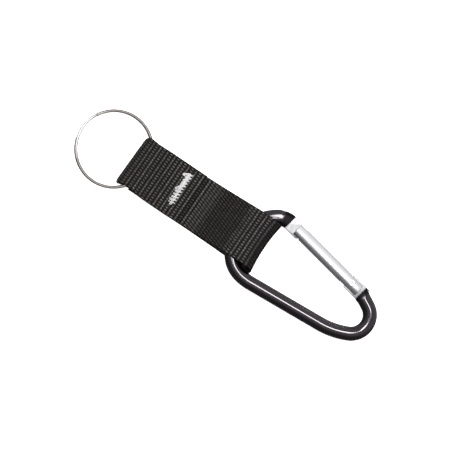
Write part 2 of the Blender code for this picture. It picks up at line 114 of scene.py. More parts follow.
def math_node(tree, operation, a, b):
    node = tree.nodes.new("ShaderNodeMath")
    node.operation = operation
    for i, value in enumerate((a, b)):
        if isinstance(value, (int, float)):
            node.inputs[i].default_value = value
        else:
            tree.links.new(value, node.inputs[i])
    return node.outputs[0]


def ramp(tree, source, stops):
    node = tree.nodes.new("ShaderNodeValToRGB")
    elements = node.color_ramp.elements
    while len(elements) < len(stops):
        elements.new(0.5)
    for element, (position, colour) in zip(elements, stops):
        element.position = position
        element.color = (*colour, 1)
    tree.links.new(source, node.inputs["Fac"])
    return node.outputs["Color"]


def bump(tree, shader, height, strength, distance):
    node = tree.nodes.new("ShaderNodeBump")
    node.inputs["Strength"].default_value = strength
    node.inputs["Distance"].default_value = distance
    tree.links.new(height, node.inputs["Height"])
    tree.links.new(node.outputs["Normal"], shader.inputs["Normal"])
    return node


def webbing_material():
    """Black polypropylene with painted shade: the colour is darkest between the yarns and lighter on their raised
    tops, with filaments running along each raised yarn.
    """
    mat, tree, shader = nodes_of("black_webbing")
    cloth = tree.nodes.new("ShaderNodeAttribute")
    cloth.attribute_name = "cloth"
    split = tree.nodes.new("ShaderNodeSeparateXYZ")
    tree.links.new(cloth.outputs["Vector"], split.inputs[0])
    along, across, height = split.outputs
    # painted shade and highlight: near black in the grooves between the yarns, dark grey on the yarn tops, following
    # the cloth attribute's third value
    stops = [
        (0.0, (0.0026, 0.0022, 0.0021)),
        (0.55, (0.0072, 0.0062, 0.0058)),
        (1.0, (0.031, 0.0280, 0.0265)),
    ]
    tree.links.new(ramp(tree, height, stops), shader.inputs["Base Color"])
    levels = ((0.0, 0.06), (0.5, 0.14), (0.85, 0.45), (1.0, 0.8))
    shine = ramp(tree, height, [(position, (level,) * 3) for position, level in levels])
    tree.links.new(shine, shader.inputs["Specular IOR Level"])
    shader.inputs["Specular Tint"].default_value = (1.0, 0.95, 0.93, 1)
    shader.inputs["Roughness"].default_value = 0.42
    slant = math_node(tree, "MULTIPLY", along, 0.45)
    phase = math_node(tree, "ADD", across, slant)
    ripple = math_node(tree, "SINE", math_node(tree, "MULTIPLY", phase, 34.0), 0.0)
    noise = add(tree, "ShaderNodeTexNoise", Scale=2.6, Detail=4.0)
    tree.links.new(cloth.outputs["Vector"], noise.inputs["Vector"])
    mixed = math_node(tree, "ADD", math_node(tree, "MULTIPLY", ripple, 0.25), noise.outputs["Fac"])
    bump(tree, shader, mixed, 0.35, 0.00008)
    return mat


def thread_material():
    mat, tree, shader = nodes_of("white_thread")
    shader.inputs["Base Color"].default_value = (0.55, 0.537, 0.54, 1)
    shader.inputs["Roughness"].default_value = 0.55
    shader.inputs["Sheen Weight"].default_value = 0.1
    twist = tree.nodes.new("ShaderNodeAttribute")
    twist.attribute_name = "twist"
    ripple = math_node(tree, "SINE", twist.outputs["Fac"], 0.0)
    bump(tree, shader, ripple, 0.5, 0.00006)
    return mat


def metal(name, colour, roughness, noise_scale, noise_strength, stretch=(1, 1, 1)):
    """Metal with fine scratches or brushing; stretch lays the marks along the piece."""
    mat, tree, shader = nodes_of(name)
    shader.inputs["Base Color"].default_value = (*colour, 1)
    shader.inputs["Metallic"].default_value = 1.0
    place = tree.nodes.new("ShaderNodeTexCoord")
    mapping = tree.nodes.new("ShaderNodeMapping")
    mapping.inputs["Scale"].default_value = stretch
    mapping.inputs["Rotation"].default_value = (0, 0, -math.atan2(ALONG_GATE.y, ALONG_GATE.x))
    mapping.vector_type = "TEXTURE"
    noise = add(tree, "ShaderNodeTexNoise", Scale=noise_scale, Detail=6.0, Roughness=0.6)
    tree.links.new(place.outputs["Object"], mapping.inputs["Vector"])
    tree.links.new(mapping.outputs["Vector"], noise.inputs["Vector"])
    low, high = roughness * 0.8, roughness * 1.25
    rough = ramp(tree, noise.outputs["Fac"], [(0.3, (low,) * 3), (0.7, (high,) * 3)])
    tree.links.new(rough, shader.inputs["Roughness"])
    bump(tree, shader, noise.outputs["Fac"], noise_strength, 0.00004)
    return mat


def nickel():
    """Nickel plate with a painted highlight: the base colour is brightest on the side of the ring away from the
    strap.
    """
    mat, tree, shader = nodes_of("nickel_plate")
    shader.inputs["Metallic"].default_value = 1.0
    shader.inputs["Roughness"].default_value = 0.55
    place = tree.nodes.new("ShaderNodeTexCoord")
    split = tree.nodes.new("ShaderNodeSeparateXYZ")
    tree.links.new(place.outputs["Generated"], split.inputs[0])
    # painted highlight: the colour lightens towards the side of the ring away from the strap
    stops = [(0.0, (0.62, 0.60, 0.60)), (0.05, (0.46, 0.44, 0.435)), (0.2, (0.20, 0.18, 0.174))]
    tree.links.new(ramp(tree, split.outputs[0], stops), shader.inputs["Base Color"])
    return mat


def black_gloss():
    mat, tree, shader = nodes_of("black_gloss_coating")
    shader.inputs["Base Color"].default_value = (0.0024, 0.0016, 0.0021, 1)
    shader.inputs["Specular Tint"].default_value = (1.0, 0.92, 0.98, 1)
    pressed = tree.nodes.new("ShaderNodeAttribute")
    pressed.attribute_name = "pressed"
    for socket, round_rod, pressed_end in (("Roughness", 0.1, 0.5), ("Specular IOR Level", 0.72, 0.08)):
        stops = [(0.0, (round_rod,) * 3), (1.0, (pressed_end,) * 3)]
        tree.links.new(ramp(tree, pressed.outputs["Fac"], stops), shader.inputs[socket])
    place = tree.nodes.new("ShaderNodeTexCoord")
    noise = add(tree, "ShaderNodeTexNoise", Scale=900.0, Detail=3.0)
    tree.links.new(place.outputs["Object"], noise.inputs["Vector"])
    bump(tree, shader, noise.outputs["Fac"], 0.015, 0.00003)
    return mat


# ---------------------------------------------------------------- geometry helpers


def arc(centre, radius, start, end, count):
    angles = np.linspace(start, end, count)
    return [Vector((centre[0] + radius * math.cos(a), centre[1] + radius * math.sin(a))) for a in angles]


def filleted(corners, closed=False, step=math.radians(6)):
    """A line through (x, y, radius) corners with each rounded to its radius."""
    out = []
    count = len(corners)
    for i, (x, y, radius) in enumerate(corners):
        here = Vector((x, y))
        if radius <= 0 or (not closed and i in (0, count - 1)):
            out.append(here)
            continue
        before = (Vector(corners[i - 1][:2]) - here).normalized()
        after = (Vector(corners[(i + 1) % count][:2]) - here).normalized()
        half = before.angle(after) / 2
        if half > math.radians(89.8):
            out.append(here)
            continue
        centre = here + (before + after).normalized() * (radius / math.sin(half))
        first = here + before * (radius / math.tan(half)) - centre
        last = here + after * (radius / math.tan(half)) - centre
        turn = first.angle_signed(last)
        steps = max(2, math.ceil(abs(turn) / step))
        out += [centre + Matrix.Rotation(-turn * k / steps, 2) @ first for k in range(steps + 1)]
    return out


def resampled(points, step):
    """Even steps along a line: positions (n, 2), unit tangents (n, 2) and distance along it."""
    line = np.array([tuple(p) for p in points], float)
    keep = np.concatenate([[True], np.linalg.norm(np.diff(line, axis=0), axis=1) > 1e-6])
    line = line[keep]
    distance = np.concatenate([[0], np.cumsum(np.linalg.norm(np.diff(line, axis=0), axis=1))])
    count = int(round(distance[-1] / step)) + 1
    s = np.linspace(0, distance[-1], count)
    at = np.stack([np.interp(s, distance, line[:, k]) for k in range(2)], 1)
    tangent = np.gradient(at, axis=0)
    smooth = np.array([0.25, 0.5, 0.25])
    for k in range(2):
        padded = np.pad(tangent[:, k], 1, mode="edge")
        tangent[:, k] = np.convolve(padded, smooth, mode="valid")
    tangent /= np.linalg.norm(tangent, axis=1)[:, None]
    return at, tangent, s


def mesh_object(name, points, faces, material):
    mesh = bpy.data.meshes.new(name)
    mesh.from_pydata(np.asarray(points, float) * MM, [], faces)
    mesh.update()
    obj = bpy.data.objects.new(name, mesh)
    bpy.context.scene.collection.objects.link(obj)
    mesh.materials.append(material)
    mesh.shade_smooth()
    return obj


def ring_faces(rings, around, start=0):
    """Quads joining rings of points to a tube, with its ends closed."""
    i = np.arange(rings - 1)[:, None] * around
    j = np.arange(around)[None, :]
    k = (j + 1) % around
    quads = np.stack([i + j, i + k, i + around + k, i + around + j], -1).reshape(-1, 4) + start
    faces = quads.tolist()
    faces.append((np.arange(around)[::-1] + start).tolist())
    faces.append((np.arange(around) + start + (rings - 1) * around).tolist())
    return faces


def tube(path, radius, sides):
    """Points and faces of a round tube along 3-D points, with rounded ends."""
    path = np.asarray(path, float)
    tangent = np.gradient(path, axis=0)
    tangent /= np.linalg.norm(tangent, axis=1)[:, None]
    up = np.array([0.0, 0.0, 1.0])
    side = np.cross(tangent, up)
    length = np.linalg.norm(side, axis=1)
    side[length < 1e-3] = (1, 0, 0)
    side /= np.linalg.norm(side, axis=1)[:, None]
    lift = np.cross(side, tangent)
    radii = np.full(len(path), radius)
    radii[[0, -1]] *= 0.55
    angle = np.linspace(0, 2 * math.pi, sides, endpoint=False)
    cos, sin = np.cos(angle)[None, :, None], np.sin(angle)[None, :, None]
    offset = cos * side[:, None, :] + sin * lift[:, None, :]
    points = (path[:, None, :] + radii[:, None, None] * offset).reshape(-1, 3)
    return points, ring_faces(len(path), sides)


def joined(parts):
    points, faces = [], []
    total = 0
    for p, f in parts:
        points.append(p)
        faces += [[i + total for i in face] for face in f]
        total += len(p)
    return np.concatenate(points), faces


def outward(obj):
    shape = bmesh.new()
    shape.from_mesh(obj.data)
    bmesh.ops.recalc_face_normals(shape, faces=shape.faces)
    shape.to_mesh(obj.data)
    shape.free()
    return obj


def baked(obj, angle):
    """The object with its modifiers applied, sharp where faces meet at more than the angle in degrees."""
    graph = bpy.context.evaluated_depsgraph_get()
    mesh = bpy.data.meshes.new_from_object(obj.evaluated_get(graph))
    obj.modifiers.clear()
    obj.data = mesh
    mesh.shade_smooth()
    mesh.set_sharp_from_angle(angle=math.radians(angle))
    return obj


def cut(obj, cutter):
    modifier = obj.modifiers.new("cut", "BOOLEAN")
    modifier.operation = "DIFFERENCE"
    modifier.object = cutter
    modifier.solver = "EXACT"


def turned(name, points, steps, angle, axis="Z"):
    """A profile in metres turned about an axis."""
    mesh = bpy.data.meshes.new(name)
    mesh.from_pydata(points, [(i, i + 1) for i in range(len(points) - 1)], [])
    obj = bpy.data.objects.new(name, mesh)
    bpy.context.scene.collection.objects.link(obj)
    spin = obj.modifiers.new("turn", "SCREW")
    spin.axis = axis
    spin.steps = spin.render_steps = steps
    spin.use_merge_vertices = True
    spin.merge_threshold = 1e-6
    baked(obj, angle)
    return outward(obj)


def block(name, low, high, matrix):
    bpy.ops.mesh.primitive_cube_add(size=1)
    obj = bpy.context.object
    obj.name = name
    low, high = Vector(low) * MM, Vector(high) * MM
    obj.data.transform(matrix @ Matrix.Translation((low + high) / 2) @ Matrix.Diagonal((*(high - low), 1)))
    return obj


def plate(name, outline, thickness, matrix, material, edge=0.0):
    """A flat outline (mm) extruded about its plane, with a small bevel."""
    curve = bpy.data.curves.new(name, "CURVE")
    curve.dimensions = "2D"
    curve.fill_mode = "BOTH"
    curve.extrude = (thickness / 2 - edge) * MM
    curve.bevel_depth = edge * MM
    curve.offset = -edge * MM
    curve.bevel_resolution = 2
    spline = curve.splines.new("POLY")
    spline.points.add(len(outline) - 1)
    for target, point in zip(spline.points, outline):
        target.co = (point[0] * MM, point[1] * MM, 0, 1)
    spline.use_cyclic_u = True
    obj = bpy.data.objects.new(name, curve)
    bpy.context.scene.collection.objects.link(obj)
    graph = bpy.context.evaluated_depsgraph_get()
    mesh = bpy.data.meshes.new_from_object(obj.evaluated_get(graph))
    bpy.data.objects.remove(obj, do_unlink=True)
    shape = bmesh.new()
    shape.from_mesh(mesh)
    bmesh.ops.remove_doubles(shape, verts=shape.verts, dist=1e-6)
    bmesh.ops.recalc_face_normals(shape, faces=shape.faces)
    shape.to_mesh(mesh)
    shape.free()
    mesh.transform(matrix)
    made = bpy.data.objects.new(name, mesh)
    bpy.context.scene.collection.objects.link(made)
    mesh.materials.clear()
    mesh.materials.append(material)
    mesh.shade_smooth()
    mesh.set_sharp_from_angle(angle=math.radians(30))
    return made


# ---------------------------------------------------------------- webbing

# X of the tail's end between the layers, of the cut end under the ring loop, and of where the two skins meet
TAIL_END = -19.4
LAP_END = RING_LOOP_LO.x / MM + 6.6
SPLIT_X = -16.6


def webbing_line():
    """The middle of the webbing's thickness, in X and Z.

    It runs from the cut end under the ring loop, along the bottom, round the carabiner, back over the top,
    round the ring and in again as the tail between the two layers."""
    one, two, three = HALF, HALF + LAYER, HALF + 2 * LAYER
    top = LOOP_TOP - HALF
    right = FOLD_RIGHT - HALF
    left = FOLD_LEFT + HALF
    crest = RING_LOOP_TOP - HALF
    return [
        (LAP_END, one, 0),
        (right, one, 3.9),
        (right, top, 3.6),
        (5.2, top - 0.05, 9),
        (CAR_HINGE_X + 2.2, two, 7),
        (TAIL_END + 1.6, two, 1.6),
        (TAIL_END - 0.6, three, 1.6),
        (RING_HINGE_X + 2.4, three, 7),
        (FOLD_LEFT + 8.2, crest - 0.2, 9),
        (left, crest - 1.5, 3.0),
        (left, one, 2.4),
        (LAP_END - 3.4, one, 3),
        (LAP_END + 0.3, two, 3),
        (TAIL_END, two, 0),
    ]


def weave(s, y, x, outer, tight):
    """Height from 0 to 1 of the woven surface at distances s along and y across.

    Raised yarns are ovals in rows, each row half a pitch off its neighbours. Where the webbing is tight,
    every other row closes up to a ridge."""
    height = np.zeros((len(s), len(y)))
    row = np.floor(s / ROW).astype(int)
    direction = np.sign(np.gradient(x))[:, None]
    lift = ROW_JITTER[row % 128][:, None]
    for step in (-1, 0, 1):
        r = row + step
        ds = (s - (r + 0.5) * ROW)[:, None]
        odd = ((r + (0 if outer else 1)) % 2)[:, None].astype(float)
        a = 1.12 * (1 - tight) + tight * (0.92 - 0.22 * odd)
        b = 0.60 * (1 - tight) + tight * (0.57 + 0.21 * odd)
        col = y[None, :] / BUMP_PITCH + 0.5 * odd
        near = np.floor(col + 0.5)
        jitter = BUMP_JITTER[r[:, None] % 128, near.astype(int) % 64]
        dy = (col - near) * BUMP_PITCH + 0.24 * (1 - tight) * ds * direction * (1 if outer else -1)
        shape = 1 - (ds / a) ** 2 - (dy / b) ** 2
        one = np.sqrt(np.clip(shape, 0, None)) * (0.90 + 0.10 * jitter)
        height = np.maximum(height, one)
    return height * (0.96 + 0.04 * lift)


def smooth_between(value, low, high):
    t = np.clip((value - low) / (high - low), 0, 1)
    return t * t * (3 - 2 * t)


def build_webbing(material):
    at, tangent, s = resampled(filleted(webbing_line()), 0.235)
    x, z = at[:, 0], at[:, 1]
    normal = np.stack([tangent[:, 1], -tangent[:, 0]], 1)
    # distances along the line of its landmarks
    fold = s[np.argmax(x)]
    ring_fold = s[np.argmin(np.where(s > fold, x, 1e9))]
    bottom = s < fold
    top = (s >= fold) & (s < ring_fold)
    tail = s >= ring_fold
    # how the middle of the width wanders and how wide it is
    centre = np.zeros(len(s))
    for stretch, places, middles in (
        (bottom, [-44.8, -38, -10, 0, 8, 19], [-0.3, -0.25, -0.2, -0.2, -0.35, -1.1]),
        (top, [-51, -48, -44.5, -38, -26, -12, -1, 10, 19], [-0.2, 0.35, 0.25, -0.3, -0.3, 0.15, 0.6, 1.1, 0.95]),
        (tail, [-51, -44, -19], [-0.35, 0.0, 0.1]),
    ):
        centre[stretch] = np.interp(x[stretch], places, middles)
    kernel = np.hanning(25)
    kernel /= kernel.sum()
    centre = np.convolve(np.pad(centre, 12, mode="edge"), kernel, mode="valid")
    width = np.full(len(s), WIDTH - 0.4)
    widths = [WIDTH + 0.7, WIDTH - 0.8, WIDTH - 1.3, WIDTH - 0.3]
    width[~bottom] = np.interp(x[~bottom], [-51.4, -48, -44.5, -40], widths)
    width = np.convolve(np.pad(width, 12, mode="edge"), kernel, mode="valid")
    tight = np.zeros(len(s))
    tight_ring = smooth_between(x, -50.5, -47.0) * (1 - smooth_between(x, -18.5, -14.5))
    tight_rod = smooth_between(x, 4.0, 8.0) * (1 - smooth_between(x, 14.5, 17.5))
    tight[top] = np.maximum(tight_ring, tight_rod)[top]
    tight[~top] = 0.35
    tight = tight[:, None]
    outer_n, inner_n = 121, 61
    across_o = np.linspace(-0.5, 0.5, outer_n)
    across_i = np.linspace(0.5, -0.5, inner_n)
    out_h = weave(s, across_o * WIDTH, x, True, tight)
    in_h = weave(s, across_i * WIDTH, x, False, tight)
    edge_round = 0.55
    sides = []
    for across, height, sign in ((across_o, out_h, 1), (across_i, in_h, -1)):
        y = centre[:, None] + across[None, :] * width[:, None]
        from_edge = (0.5 - np.abs(across))[None, :] * width[:, None]
        near_edge = np.clip(1 - from_edge / edge_round, 0, 1)
        thick = (CORE + BUMP * height) * np.sqrt(np.clip(1 - near_edge**2, 0, 1))
        # the third value is the painted shade of the webbing material, dimmed towards the rounded edges
        sides.append((y, sign * thick, height * (1 - 0.6 * near_edge)))
    y = np.concatenate([sides[0][0], sides[1][0][:, 1:-1]], 1)
    off = np.concatenate([sides[0][1], sides[1][1][:, 1:-1]], 1)
    h = np.concatenate([sides[0][2], sides[1][2][:, 1:-1]], 1)
    around = y.shape[1]
    px = x[:, None] + normal[:, 0, None] * off
    pz = z[:, None] + normal[:, 1, None] * off
    # the fold on the rod is hollow in the middle, the fold on the ring skewed with its corners pulled in
    near_fold = smooth_between(px, FOLD_RIGHT - 9, FOLD_RIGHT)
    px = px + near_fold * (((y - 0.6) / SPREAD) ** 2 - 0.12)
    near_ring = 1 - smooth_between(px, FOLD_LEFT, FOLD_LEFT + 8)
    px = px + near_ring * (0.3 + y / SPREAD * 0.32)
    corner = np.clip((np.abs(y + 0.3) - 9.9) / 2.4, 0, 1) ** 2 * np.where(y > 0, 1.35, 0.55)
    px = px + (1 - smooth_between(px, FOLD_LEFT, FOLD_LEFT + 3)) * corner
    # stitches draw the top layer down
    tack_mid = (TACK_LO + TACK_HI) / 2 / MM
    pull_x = np.exp(-(((px - tack_mid.x) / 2.3) ** 2))
    pull_y = 1 - smooth_between(np.abs(y - tack_mid.y), 7.6, 10.0)
    is_top = top[:, None] & (pz > 2.6)
    pz = pz - np.where(is_top, 0.28 * pull_x * pull_y, 0)
    pz = np.maximum(pz, 0.01)
    points = np.stack([px, y, pz], -1)
    # the painted groove shade and yarn-top highlight are evened out towards a set level in the slack stretch and at
    # the folds
    slack = smooth_between(x, -17.5, -13.5) * (1 - smooth_between(x, 2.0, 6.0)) * top
    folds = np.maximum(smooth_between(x, 12.5, 15.0), 1 - smooth_between(x, -50.0, -46.5))
    calm = (0.55 * slack + 0.6 * folds)[:, None]
    level = np.where(x > 10, 0.50, np.where(x < -40, 0.74, 0.53))[:, None]
    shade = h + (level - h) * calm * (h > 0.05)
    cloth = np.stack([np.broadcast_to(s[:, None], y.shape), y, shade], -1)
    # two pieces meet between two rows in the still part
    split_s = [np.interp(SPLIT_X, x[bottom], s[bottom])]
    split_s.append(np.interp(-SPLIT_X, -x[top], s[top]))
    split = [int(np.argmin(np.abs(s - round(v / ROW) * ROW))) for v in split_s]
    pieces = []
    for name, ranges in (
        ("webbing_ring_half", [(0, split[0] + 1), (split[1], len(s))]),
        ("webbing_carabiner_half", [(split[0], split[1] + 1)]),
    ):
        all_points, all_faces, all_cloth, total = [], [], [], 0
        for first, last in ranges:
            rows = last - first
            all_points.append(points[first:last].reshape(-1, 3))
            all_cloth.append(cloth[first:last].reshape(-1, 3))
            all_faces += ring_faces(rows, around, total)
            total += rows * around
        obj = mesh_object(name, np.concatenate(all_points), all_faces, material)
        attribute = obj.data.attributes.new("cloth", "FLOAT_VECTOR", "POINT")
        attribute.data.foreach_set("vector", np.concatenate(all_cloth).astype(np.float32).ravel())
        outward(obj)
        length = sum(s[last - 1] - s[first] for first, last in ranges)
        pieces.append((obj, length))
    return pieces


# ---------------------------------------------------------------- stitches


def stitch(points, radius=0.25, sides=8, step=0.16):
    """A thread through 3-D points, on a smooth curve."""
    points = np.asarray(points, float)
    chord = np.concatenate([[0], np.cumsum(np.linalg.norm(np.diff(points, axis=0), axis=1))])
    t = np.linspace(0, chord[-1], max(8, int(chord[-1] / step)))
    smooth = np.stack([np.interp(t, chord, points[:, k]) for k in range(3)], 1)
    for _ in range(2):
        smooth[1:-1] = 0.25 * smooth[:-2] + 0.5 * smooth[1:-1] + 0.25 * smooth[2:]
    return tube(smooth, radius, sides)


def build_tack(name, top, material):
    """Dense stitches over the upper half, an open zigzag below, and two loose lumps on the ring side."""
    lo, hi = TACK_LO / MM, TACK_HI / MM
    middle = (lo.x + hi.x) / 2 + 0.4
    # heights of the lying thread, and of where it goes into the webbing
    level, sunk = (3.98, 3.45) if top else (0.34, 0.95)
    sign = 1 if top else -1
    parts = []
    rng = np.random.RandomState(3 if top else 4)
    pitch = 1.42
    start, end = hi.y - 0.5, lo.y + 0.2
    count = int((start - end) / pitch)
    for i in range(count + 1):
        y = start - i * pitch
        share = i / count
        left = middle - (1.0 + 0.3 * (share > 0.5)) + rng.uniform(-0.15, 0.15)
        right = middle + 1.6 + rng.uniform(-0.12, 0.12)
        skew = rng.uniform(-0.1, 0.1)
        over = level + sign * 0.12
        forth = [
            (left - 0.1, y - 0.35 + skew, sunk),
            (left + 0.2, y - 0.3 + skew, over),
            (middle, y - 0.1, over),
            (right - 0.25, y + 0.28, level),
            (right, y + 0.34, sunk),
        ]
        parts.append(stitch(forth, 0.24))
        if share < 0.97:
            back = y - 0.78
            again = [
                (right, y + 0.3, sunk),
                (right - 0.3, y + 0.1, level - sign * 0.1),
                (middle, back + 0.3, level),
                (left + 0.3, back, level - sign * 0.05),
                (left, back - 0.1, sunk),
            ]
            parts.append(stitch(again, 0.24))
    dense_end = start - (start - end) * 0.47
    y = start + 0.15
    while y > dense_end:
        left = middle - 1.0 + rng.uniform(-0.22, 0.2)
        right = middle + 0.95 + rng.uniform(-0.25, 0.25)
        high = level + sign * (0.28 + rng.uniform(0, 0.08))
        tilt = rng.uniform(-0.25, 0.25)
        dense = [
            (left, y - tilt, sunk),
            (left + 0.22, y - tilt, high - sign * 0.1),
            (middle - 0.2, y, high),
            (right - 0.2, y + tilt, high - sign * 0.08),
            (right, y + tilt, sunk),
        ]
        parts.append(stitch(dense, 0.235))
        y -= 0.36
    for shift in (-0.1, 0.55):
        wob = rng.uniform(-0.1, 0.1, 9)
        run = np.linspace(dense_end + 0.6, end + 0.25 * abs(shift), 9)
        long_run = [
            (middle + shift * 0.85 + w + (0.1 * (i % 2)), v, level + sign * (0.16 + 0.08 * ((i + 1) % 2)))
            for i, (v, w) in enumerate(zip(run, wob))
        ]
        parts.append(stitch(long_run, 0.22))
    if top:
        head = start + 0.2
        high = level + 0.25
        knot = dense_end - 0.2
        for radius, lump in (
            (
                0.3,
                [
                    (middle + 0.9, head - 0.5, high),
                    (middle + 0.2, head + 0.25, high),
                    (middle - 0.8, head - 0.35, high),
                    (middle - 2.3, head - 1.15, level + 0.05),
                    (middle - 2.55, head - 1.75, level),
                    (middle - 1.3, head - 1.7, level),
                ],
            ),
            (
                0.3,
                [
                    (middle - 0.9, head - 0.7, high),
                    (middle - 1.9, head - 1.35, level + 0.1),
                    (middle - 2.3, head - 1.6, level),
                ],
            ),
            (
                0.28,
                [
                    (middle - 0.4, knot + 1.6, high),
                    (middle - 1.1, knot + 0.6, high),
                    (middle - 1.75, knot - 0.4, level + 0.1),
                    (middle - 1.9, knot - 0.8, level),
                    (middle - 1.1, knot - 0.7, level + 0.1),
                    (middle - 0.3, knot - 0.3, level + 0.15),
                ],
            ),
        ):
            parts.append(stitch(lump, radius))
    points, faces = joined(parts)
    if not top:
        points[:, 2] = np.maximum(points[:, 2], 0.02)
    obj = mesh_object(name, points, faces, material)
    outward(obj)
    phase = obj.data.attributes.new("twist", "FLOAT", "POINT")
    phase.data.foreach_set("value", ((points[:, 0] * 0.9 + points[:, 1] * 0.35) * 28).astype(np.float32))
    return obj


# ---------------------------------------------------------------- split ring


def build_ring(material):
    lo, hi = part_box("split_ring")
    outer = (hi.y - lo.y) / 2 / MM
    wire_r, wire_z = 0.63, 0.66
    radius = outer - wire_r - 0.2
    cross = math.radians(40)
    rise = 1.4
    total = 4 * math.pi - cross - 0.08
    count = 560
    turn = np.linspace(0, total, count)
    share = smooth_between(turn, 2 * math.pi - cross, 2 * math.pi)
    start_at = math.radians(196)
    angle = turn + start_at
    height = rise * (share - 0.5)
    # the two turns lie a little off each other
    shift = (share - 0.5) * 0.42
    cx, cy = shift * math.cos(math.radians(12)), shift * math.sin(math.radians(12))
    sides = 16
    a = np.linspace(0, 2 * math.pi, sides, endpoint=False)
    # the wire is half round, flat where the turns meet
    squash = np.where(np.abs(np.sin(a)) > 0.8, 0.92, 1.0)
    rr = np.cos(a) * wire_r
    zz = np.sin(a) * wire_z * squash
    ends = np.ones(count)
    ends[[0, -1]] = 0.72
    out = np.stack([np.cos(angle), np.sin(angle), 0 * angle], 1)
    base = out * radius + np.stack([cx + 0 * angle, cy + 0 * angle, height], 1)
    points = base[:, None, :] + (ends[:, None] * rr[None, :])[..., None] * out[:, None, :]
    points[..., 2] += ends[:, None] * zz[None, :]
    points = points.reshape(-1, 3)
    obj = mesh_object("split_ring_wire", points, ring_faces(count, sides), material)
    outward(obj)
    turn_to = Vector((0, 0, 1)).rotation_difference(RING_AXIS).to_matrix().to_4x4()
    obj.data.transform(Matrix.Translation(RING_CENTRE * MM) @ turn_to)
    obj.data.set_sharp_from_angle(angle=math.radians(50))
    return obj


# ---------------------------------------------------------------- carabiner

# Radius of the wide end's centreline and of the rod, and the height of the rod's middle
WIDE = 15.8
ROD = 3.1
ROD_Z = SWIVEL.z
# Between the rod's two faces along the gate, from the pivot to the hinge's face, and the gate's set inwards
OPENING = 43.385
PIVOT_TO_FACE = 5.85
GATE_SHIFT = -0.3


def gate_frame():
    """X along the gate towards the hinge, Y outwards, origin on the pivot."""
    angle = math.atan2(ALONG_GATE.y, ALONG_GATE.x)
    return Matrix.Translation(PIVOT * MM) @ Matrix.Rotation(angle, 4, "Z")


def rod_line():
    """The rod's centreline from the nose round the wide end, along the spine and round the narrow end."""
    nose = math.radians(87.0)
    rise = math.radians(4.0)
    narrow_r, bend_r, bow, span = 8.2, 34.7, 1.96, 45.15
    narrow_y = (narrow_r + bow - WIDE + span * math.sin(rise)) / math.cos(rise)
    narrow = Vector((span, narrow_y))
    hinge = narrow + Vector((-1.7, narrow_r + 1.98))
    path = []
    for point in arc((0, 0), WIDE, nose, 1.5 * math.pi + rise, 90):
        angle = math.atan2(point.y, point.x) % (2 * math.pi)
        behind = max(0.0, -math.cos(angle) - 0.24)
        fading = math.cos(np.clip(angle - math.radians(120), 0, math.pi / 2)) ** 2
        pressed = 4.2 * behind**2 / (behind + 0.03) * fading
        heel = np.clip((angle - math.radians(205)) / math.radians(65), 0, 1)
        path.append(point * (1 - (pressed - 0.39 * math.sin(math.pi * heel) ** 2) / WIDE))
    along = Vector((math.cos(rise), math.sin(rise)))
    inward = Vector((-along.y, along.x))
    start = -inward * WIDE
    reach = along.dot(narrow - start)
    back = math.sqrt((bend_r - narrow_r) ** 2 - (bend_r - narrow_r - bow) ** 2)
    bend_start = start + along * (reach - back)
    bend_centre = bend_start + inward * bend_r
    path += [start + (bend_start - start) * k / 30 for k in range(1, 30)]
    toward = narrow - bend_centre
    join = math.atan2(toward.y, toward.x)
    path += arc(bend_centre, bend_r, rise - math.pi / 2, join, 24)
    to_hinge = hinge - narrow
    leave = math.atan2(to_hinge.y, to_hinge.x) - math.acos(narrow_r / to_hinge.length)
    path += arc(narrow, narrow_r, join, leave, 60)[1:]
    arm = hinge - path[-1]
    last = path[-1]
    path += [last + arm * k / 10 for k in range(1, 11)]
    shift = Vector((SWIVEL.x, SWIVEL.y))
    return [p + shift for p in path]


def build_rod(material):
    """A round rod, pressed flatter and wider near its two ends, which are faced square to the gate."""
    at, tangent, s = resampled(rod_line(), 0.45)
    total = s[-1]
    side = np.stack([-tangent[:, 1], tangent[:, 0]], 1)
    gate_dir = np.array([ALONG_GATE.x, ALONG_GATE.y])
    near_nose = 1 - smooth_between(s, 3.2, 4.3)
    near_hinge = smooth_between(s, total - 2.6, total - 1.4)
    press = np.maximum(near_nose, 0.8 * near_hinge)
    wide = ROD * (1 + 0.10 * press)
    flat = ROD * (1 - 0.045 * press)
    # behind the nose the rod is flattened on its upper outer side
    flattened = smooth_between(s, 4.0, 4.6) * (1 - smooth_between(s, 11.0, 15.0))
    power = 2 + 1.1 * press + 1.0 * flattened
    # the end faces lean from the rod's own direction to the gate's
    lean = np.zeros(len(s))
    for index, weight in ((0, 1 - smooth_between(s, 0, 5)), (-1, smooth_between(s, total - 5, total))):
        t = tangent[index]
        lean += weight * (t[0] * gate_dir[1] - t[1] * gate_dir[0]) / (t @ gate_dir)
    sides = 48
    a = np.linspace(0, 2 * math.pi, sides, endpoint=False)
    ca, sa = np.cos(a)[None, :], np.sin(a)[None, :]
    n = power[:, None]
    turned = a[None, :] - math.radians(7) * flattened[:, None]
    scale = (np.abs(np.cos(turned)) ** n + np.abs(np.sin(turned)) ** n) ** (-1 / n)
    rings = []
    inset = [(0.0, 0.86), (0.0, 0.955), (0.13, 1.0)]
    local = wide[:, None] * ca * scale
    up = flat[:, None] * sa * scale

    def ring(i, shrink, move):
        lateral = local[i] * shrink
        base = at[i] + tangent[i] * move
        xy = base[None, :] + lateral[:, None] * side[i][None, :]
        xy = xy - (lateral * lean[i])[:, None] * tangent[i][None, :]
        return np.column_stack([xy, ROD_Z + up[i] * shrink])

    for move, shrink in inset:
        rings.append(ring(0, shrink, move))
    for i in range(1, len(s) - 1):
        rings.append(ring(i, 1.0, 0))
    for move, shrink in reversed(inset):
        rings.append(ring(-1, shrink, -move))
    points = np.concatenate(rings)
    obj = mesh_object("carabiner_rod", points, ring_faces(len(rings), sides), material)
    outward(obj)
    obj.data.set_sharp_from_angle(angle=math.radians(40))
    share = np.concatenate([[1, 1, 1], np.maximum(near_nose, near_hinge)[1:-1], [1, 1, 1]])
    matt = obj.data.attributes.new("pressed", "FLOAT", "POINT")
    matt.data.foreach_set("value", np.repeat(share, sides).astype(np.float32))
    return obj


